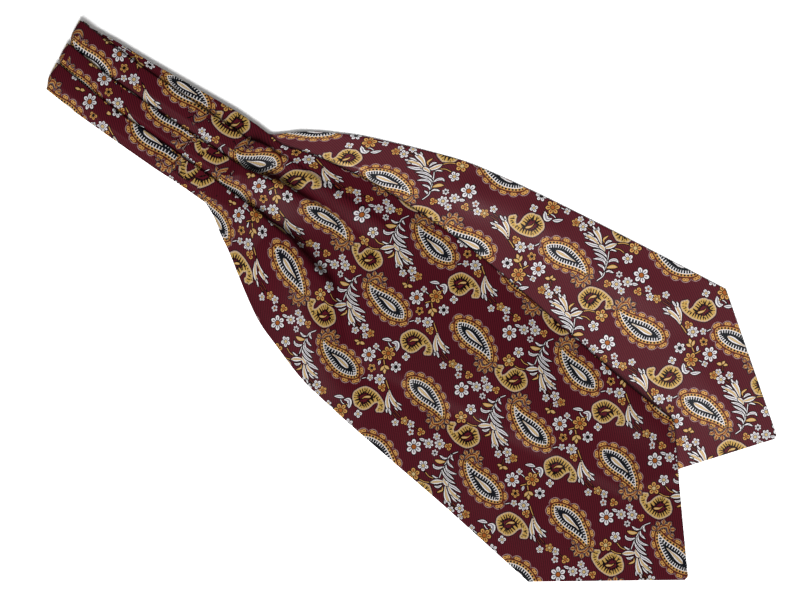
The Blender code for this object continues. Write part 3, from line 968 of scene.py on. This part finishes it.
def flower_layer(faces, corner_faces, corners):
    """Each corner's place about the nearest flower, in its radii, and that flower's look."""
    count = len(faces)
    best = np.full(count, FAR)
    number = np.full(count, -1)
    local = np.zeros((count, 2))
    for i, flower in enumerate(FLOWERS):
        offset = in_repeat(faces - flower[0:2])
        distance = np.hypot(offset[:, 0], offset[:, 1]) - flower[2]
        closer = distance < best
        best[closer] = distance[closer]
        number[closer] = i
        local[closer] = offset[closer]
    table = np.array(FLOWERS)[number[corner_faces]]
    place = local[corner_faces] + corners - faces[corner_faces]
    angle = np.radians(table[:, 4])
    x = (place[:, 0] * np.cos(angle) + place[:, 1] * np.sin(angle)) / table[:, 2]
    y = (place[:, 1] * np.cos(angle) - place[:, 0] * np.sin(angle)) / table[:, 2]
    return np.column_stack([x, y, np.zeros(len(x))]), table[:, [3, 5, 6]]


def chart_pattern(data, places):
    """Keeps on each corner of a mesh where it lies in the motifs of the pattern."""
    sizes = np.empty(len(data.polygons), np.int32)
    data.polygons.foreach_get("loop_total", sizes)
    corner_faces = np.repeat(np.arange(len(sizes)), sizes)
    faces = np.column_stack(
        [np.bincount(corner_faces, places[:, i]) / sizes for i in (0, 1)]
    )
    chosen = strokes()
    flowers, looks = flower_layer(faces, corner_faces, places)
    layers = {
        "paisley": paisley_layer(faces, corner_faces, places),
        "stroke_even": stroke_layer(chosen[0::2], faces, corner_faces, places),
        "stroke_odd": stroke_layer(chosen[1::2], faces, corner_faces, places),
        "flower": flowers,
        "flower_look": looks,
    }
    for name, values in layers.items():
        kept = data.attributes.new(name, "FLOAT_VECTOR", "CORNER")
        kept.data.foreach_set("vector", np.ascontiguousarray(values, np.float32).ravel())


# Colours of the threads
BURGUNDY = (0.036, 0.0022, 0.0050)
BURGUNDY_DEEP = (0.007, 0.0008, 0.0016)
OUTLINE = (0.002, 0.0005, 0.0008)
GOLD_THREAD = (0.225, 0.121, 0.034)
GOLD_PALE = (0.22, 0.160, 0.075)
GOLD_DULL = (0.20, 0.122, 0.032)
RUST_THREAD = (0.070, 0.013, 0.005)
EYE_ORANGE = (0.13, 0.036, 0.006)
SILVER_THREAD = (0.30, 0.288, 0.29)
SILVER_SHADE = (0.085, 0.08, 0.095)
SILVER_ON_RED = (0.15, 0.092, 0.092)  # a single silver thread between red ones
NAVY = (0.002, 0.0025, 0.004)

TWILL_STEP = 1.57
TWILL_LEAN = 49.0

# How many lobes, dots and teeth run round a paisley
LOBES = 13
DOTS = 36
TEETH = 42
SMALL_TEETH = 34


class Socket:
    """A number worked out by the shader, written as ordinary arithmetic."""

    def __init__(self, tree, output):
        self.tree = tree
        self.output = output

    def math(self, operation, *others):
        node = self.tree.nodes.new("ShaderNodeMath")
        node.operation = operation
        self.tree.links.new(self.output, node.inputs[0])
        for slot, other in zip(node.inputs[1:], others):
            if isinstance(other, Socket):
                self.tree.links.new(other.output, slot)
            else:
                slot.default_value = other
        return Socket(self.tree, node.outputs[0])

    def __add__(self, other):
        return self.math("ADD", other)

    def __sub__(self, other):
        return self.math("SUBTRACT", other)

    def __mul__(self, other):
        return self.math("MULTIPLY", other)

    def __gt__(self, other):
        return self.math("GREATER_THAN", other)

    def __lt__(self, other):
        return self.math("LESS_THAN", other)

def vector_parts(tree, name):
    """The three numbers of one of the mesh's own layers."""
    node = tree.nodes.new("ShaderNodeAttribute")
    node.attribute_type = "GEOMETRY"
    node.attribute_name = name
    parts = tree.nodes.new("ShaderNodeSeparateXYZ")
    tree.links.new(node.outputs["Vector"], parts.inputs[0])
    return [Socket(tree, output) for output in parts.outputs]


def bands(tree, value, span, stops):
    """A colour for each band of a number from 0 to span: (from where, colour)."""
    node = tree.nodes.new("ShaderNodeValToRGB")
    node.color_ramp.interpolation = "CONSTANT"
    stretched = value * (1.0 / span)
    tree.links.new(stretched.output, node.inputs[0])
    ramp = node.color_ramp.elements
    for i, (start, colour) in enumerate(stops):
        stop = ramp[i] if i < 2 else ramp.new(start / span)
        stop.position = start / span
        stop.color = (*colour, 1.0)
    return node.outputs["Color"]


def over(tree, below, above, share):
    """One colour laid over another where share is 1."""
    node = tree.nodes.new("ShaderNodeMix")
    node.data_type = "RGBA"
    tree.links.new(share.output, node.inputs["Factor"])
    for slot, colour in ((node.inputs[6], below), (node.inputs[7], above)):
        if isinstance(colour, tuple):
            slot.default_value = (*colour, 1.0)
        else:
            tree.links.new(colour, slot)
    return node.outputs[2]


def ellipse(x, y, half_x, half_y):
    """1 inside an ellipse about the place where x and y are 0."""
    x, y = x * (1.0 / half_x), y * (1.0 / half_y)
    return (x * x + y * y) < 1.0


def draw_large_paisley(tree, ground):
    """Scalloped lobes with gold hearts, a dotted gold band, and a black field with silver teeth."""
    along, out, kind = vector_parts(tree, "paisley")
    mine = (kind > 0.5) * (kind < 1.5)
    wave = (along * (math.pi * LOBES)).math("SINE").math("ABSOLUTE").math("POWER", 0.55)
    from_edge = wave * 3.0 + 1.2 - out
    rim = ((0.0, SILVER_ON_RED), (0.5, OUTLINE), (1.0, RUST_THREAD))
    colour = over(tree, ground, bands(tree, from_edge, 8.0, rim), mine * (from_edge > 0.0))
    across = ((along * LOBES).math("FRACT") - 0.5) * 7.4
    halves = across.math("ABSOLUTE") - 0.95
    colour = over(tree, colour, GOLD_THREAD, mine * ellipse(halves, out - 1.9, 1.15, 1.25))
    colour = over(tree, colour, RUST_THREAD, mine * ellipse(halves, out - 1.9, 0.45, 0.55))
    colour = over(tree, colour, OUTLINE, mine * (out > 0.35) * (out < 0.85))
    depth = out * -1.0
    tooth = (along * TEETH).math("PINGPONG", 0.5)
    white_to = (tooth < 0.15) * 2.2 + 2.8
    field = bands(tree, depth, 10.0, ((0.0, RUST_THREAD), (0.3, GOLD_THREAD), (2.3, SILVER_THREAD)))
    colour = over(tree, colour, field, mine * (depth > -0.35))
    colour = over(tree, colour, NAVY, mine * ((white_to - depth) < 0.0))
    dot = ellipse(((along * DOTS).math("FRACT") - 0.5) * 2.7, depth - 1.3, 0.9, 0.75)
    return over(tree, colour, NAVY, mine * dot)


def draw_small_paisley(tree, ground):
    """A gold comb with a pale outline round a burgundy heart with dark teeth."""
    along, out, kind = vector_parts(tree, "paisley")
    mine = kind > 1.5
    depth = (out * -1.0) + 0.5
    tooth = (along * SMALL_TEETH).math("PINGPONG", 0.5)
    field = bands(
        tree,
        depth + tooth * 1.2,
        8.0,
        ((0.0, SILVER_ON_RED), (0.7, GOLD_PALE), (1.6, GOLD_DULL), (4.9, BURGUNDY)),
    )
    colour = over(tree, ground, OUTLINE, mine * (depth > -0.6))
    colour = over(tree, colour, field, mine * (depth > 0.0))
    comb = (tooth < depth * 0.075) * (depth > 1.2) * (depth < 5.9)
    return over(tree, colour, OUTLINE, mine * comb)


def draw_strokes(tree, ground, name):
    """Leaves and stems in silver, gold or rust, silver with a gold core, or gold with a silver edge."""
    offset, width, weave = vector_parts(tree, name)
    off = offset.math("ABSOLUTE")
    from_edge = width - off
    inside = off.math("DIVIDE", width.math("MAXIMUM", 0.1))
    thick = width > 0.7
    cored = (weave > 1.5) * (weave < 2.5)
    gold = (weave > 0.5) * (weave < 1.5)
    colour = over(tree, SILVER_THREAD, SILVER_SHADE, thick * (inside < 0.34))
    colour = over(tree, colour, GOLD_THREAD, gold)
    colour = over(tree, colour, GOLD_PALE, gold * thick * (inside < 0.40))
    colour = over(tree, colour, RUST_THREAD, cored * (inside < 0.46))
    colour = over(tree, colour, GOLD_PALE, cored * (inside < 0.36))
    colour = over(tree, colour, RUST_THREAD, weave > 2.5)
    edged = weave > 3.5
    colour = over(tree, colour, SILVER_ON_RED, edged)
    colour = over(tree, colour, OUTLINE, edged * (from_edge > 0.35))
    colour = over(tree, colour, GOLD_THREAD, edged * (from_edge > 0.65))
    colour = over(tree, colour, RUST_THREAD, edged * (inside < 0.3))
    below = over(tree, ground, OUTLINE, from_edge > -0.6)
    return over(tree, below, colour, from_edge > 0.1)


def draw_flowers(tree, ground):
    """Petals with shaded middles round an eye, in silver or gold."""
    x, y, _ = vector_parts(tree, "flower")
    petals, gold, eye = vector_parts(tree, "flower_look")
    radius = (x * x + y * y).math("SQRT")
    wave = (y.math("ARCTAN2", x) * petals * 0.5).math("COSINE").math("ABSOLUTE")
    edge = wave.math("POWER", 0.75) * 0.52 + 0.41
    gap = (wave < 0.34) * (radius > 0.34)
    middle = (wave > 0.90) * (radius > 0.38) * (radius < 0.72)
    colour = over(tree, SILVER_THREAD, SILVER_SHADE, middle)
    colour = over(tree, colour, GOLD_THREAD, gold)
    colour = over(tree, colour, RUST_THREAD, gold * middle)
    colour = over(tree, colour, OUTLINE, radius < 0.35)
    colour = over(tree, colour, GOLD_PALE, (radius < 0.26) * (eye < 0.5))
    colour = over(tree, colour, EYE_ORANGE, (radius < 0.26) * (eye > 0.5) * (eye < 1.5))
    drawn = (radius < edge) * ((gap * -1.0) + 1.0)
    below = over(tree, ground, OUTLINE, radius < edge + 0.14)
    return over(tree, below, colour, drawn)


def noise(tree, place, scale, detail):
    """Soft irregularity from 0 to 1 across the cloth."""
    node = tree.nodes.new("ShaderNodeTexNoise")
    node.noise_dimensions = "2D"
    node.inputs["Scale"].default_value = scale
    node.inputs["Detail"].default_value = detail
    tree.links.new(place, node.inputs["Vector"])
    return Socket(tree, node.outputs["Fac"])


def brightened(tree, colour, factor):
    """A colour made lighter or darker by a number."""
    node = tree.nodes.new("ShaderNodeVectorMath")
    node.operation = "SCALE"
    tree.links.new(colour, node.inputs[0])
    tree.links.new(factor.output, node.inputs["Scale"])
    return node.outputs[0]


def silk(name, tone_and_painted_sheen, shine):
    """Burgundy twill with the pattern woven into it in gold, silver, rust and navy, its whole colour raised
    by a lift that on the turned-round half is set higher as a painted sheen.
    """
    material = bpy.data.materials.new(name)
    material.use_nodes = True
    tree = material.node_tree
    shader = tree.nodes["Principled BSDF"]
    places = tree.nodes.new("ShaderNodeUVMap")
    places.uv_map = "cloth"
    place = places.outputs["UV"]
    parts = tree.nodes.new("ShaderNodeSeparateXYZ")
    tree.links.new(place, parts.inputs[0])
    u, v = Socket(tree, parts.outputs[0]), Socket(tree, parts.outputs[1])
    lean = math.radians(TWILL_LEAN)
    across_twill = u * math.cos(lean) + v * math.sin(lean)
    twill = (across_twill * (1.0 / (TWILL_STEP * MM))).math("PINGPONG", 0.5) * 2.0
    colour = over(tree, BURGUNDY_DEEP, BURGUNDY, twill * 1.0 + 0.3)
    colour = draw_large_paisley(tree, colour)
    colour = draw_small_paisley(tree, colour)
    colour = draw_strokes(tree, colour, "stroke_even")
    colour = draw_strokes(tree, colour, "stroke_odd")
    colour = draw_flowers(tree, colour)
    # The lift brightens the whole colour; on the turned-round half it is set higher, a painted sheen.
    grain = noise(tree, place, 1600.0, 1.0) * 0.5 + noise(tree, place, 22.0, 2.0) * 0.22 + tone_and_painted_sheen
    colour = brightened(tree, colour, grain + (twill * 0.2 - 0.1))
    tree.links.new(colour, shader.inputs["Base Color"])
    bump = tree.nodes.new("ShaderNodeBump")
    bump.inputs["Strength"].default_value = 0.5
    bump.inputs["Distance"].default_value = 0.00012
    height = twill * 0.6 + noise(tree, place, 900.0, 1.0)
    tree.links.new(height.output, bump.inputs["Height"])
    tree.links.new(bump.outputs["Normal"], shader.inputs["Normal"])
    shader.inputs["Roughness"].default_value = 0.42
    shader.inputs["Specular IOR Level"].default_value = shine
    return material


def make_cloth():
    """The four stretches of silk, each in the place of its solid."""
    towards = silk("silk", 0.62, 0.03)
    away = silk("silk turned round with painted sheen", 1.1, 0.16)  # its twill leans the other way: a stronger real gloss, and its colour painted lighter as a painted sheen
    halves = (
        ("silk_neckband_front", neckband_rings(FRONT_ALONG, front_across, FRONT_GROUND, 1)),
        ("silk_neckband_back", neckband_rings(BACK_ALONG, back_across, STACK, -1)),
        (
            "silk_blade_front",
            blade_rings(
                FRONT_BLADE,
                FRONT_TIP,
                front_folds,
                FRONT_ALONG,
                front_skew,
                front_across,
                front_ground,
                lambda x, y: hills(FRONT_SWELLS, x, y),
                1,
            ),
        ),
        (
            "silk_blade_back",
            blade_rings(
                BACK_BLADE,
                BACK_TIP,
                back_folds,
                BACK_ALONG,
                lambda _x, across: 0.0 * across,
                back_across,
                back_height,
                lambda x, y: hills(BACK_SWELLS, x, y),
                -1,
            ),
        ),
    )
    pieces = {}
    for name, (rings, cloth) in halves:
        piece = shell(name, rings, cloth)
        node = name.removeprefix("silk_")
        piece.data.materials.append(towards if node.endswith("front") else away)
        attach(piece, "root")
        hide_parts(node)
        pieces[node] = piece
    return pieces


def make_camera():
    """Straight down, turned in its own plane, from far away."""
    data = bpy.data.cameras.new("camera")
    distance = 3.0
    data.sensor_width = 36.0
    data.lens = 36.0 * distance / 0.6
    data.clip_end = 20.0
    camera = bpy.data.objects.new("camera", data)
    camera.location = (0.01406, -0.0161, distance)
    camera.rotation_euler = (0.0, 0.0, math.radians(34.05))
    bpy.context.scene.collection.objects.link(camera)
    bpy.context.scene.camera = camera


def area_light(name, place, size, power, colour=(1.0, 1.0, 1.0)):
    """A square light that looks at the middle of the cravat."""
    data = bpy.data.lights.new(name, "AREA")
    data.size = size
    data.energy = power
    data.color = colour
    lamp = bpy.data.objects.new(name, data)
    lamp.location = place
    down = -np.array(place) / np.linalg.norm(place)
    lamp.rotation_euler = (
        math.acos(-down[2]),
        0.0,
        math.atan2(-down[0], down[1]),
    )
    bpy.context.scene.collection.objects.link(lamp)
    return lamp


def make_studio():
    """A pale floor, a white surround and a soft light from the near side."""
    scene = bpy.context.scene
    world = bpy.data.worlds.new("surround")
    world.use_nodes = True
    backdrop = world.node_tree.nodes["Background"]
    backdrop.inputs["Color"].default_value = (1.0, 1.0, 1.0, 1.0)
    backdrop.inputs["Strength"].default_value = 0.42
    scene.world = world
    scene.view_settings.view_transform = "Standard"
    area_light("key", (0.6, -1.7, 2.0), 1.8, 190.0)
    size = 6.0
    data = bpy.data.meshes.new("floor")
    corners = [(-size, -size, 0), (size, -size, 0), (size, size, 0), (-size, size, 0)]
    data.from_pydata(corners, [], [(0, 1, 2, 3)])
    paint = bpy.data.materials.new("pale floor")
    paint.use_nodes = True
    shader = paint.node_tree.nodes["Principled BSDF"]
    shader.inputs["Base Color"].default_value = (0.93, 0.93, 0.93, 1.0)
    shader.inputs["Roughness"].default_value = 0.9
    data.materials.append(paint)
    floor = bpy.data.objects.new("floor", data)
    scene.collection.objects.link(floor)


def main():
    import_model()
    make_camera()
    make_studio()
    pieces = make_cloth()


main()
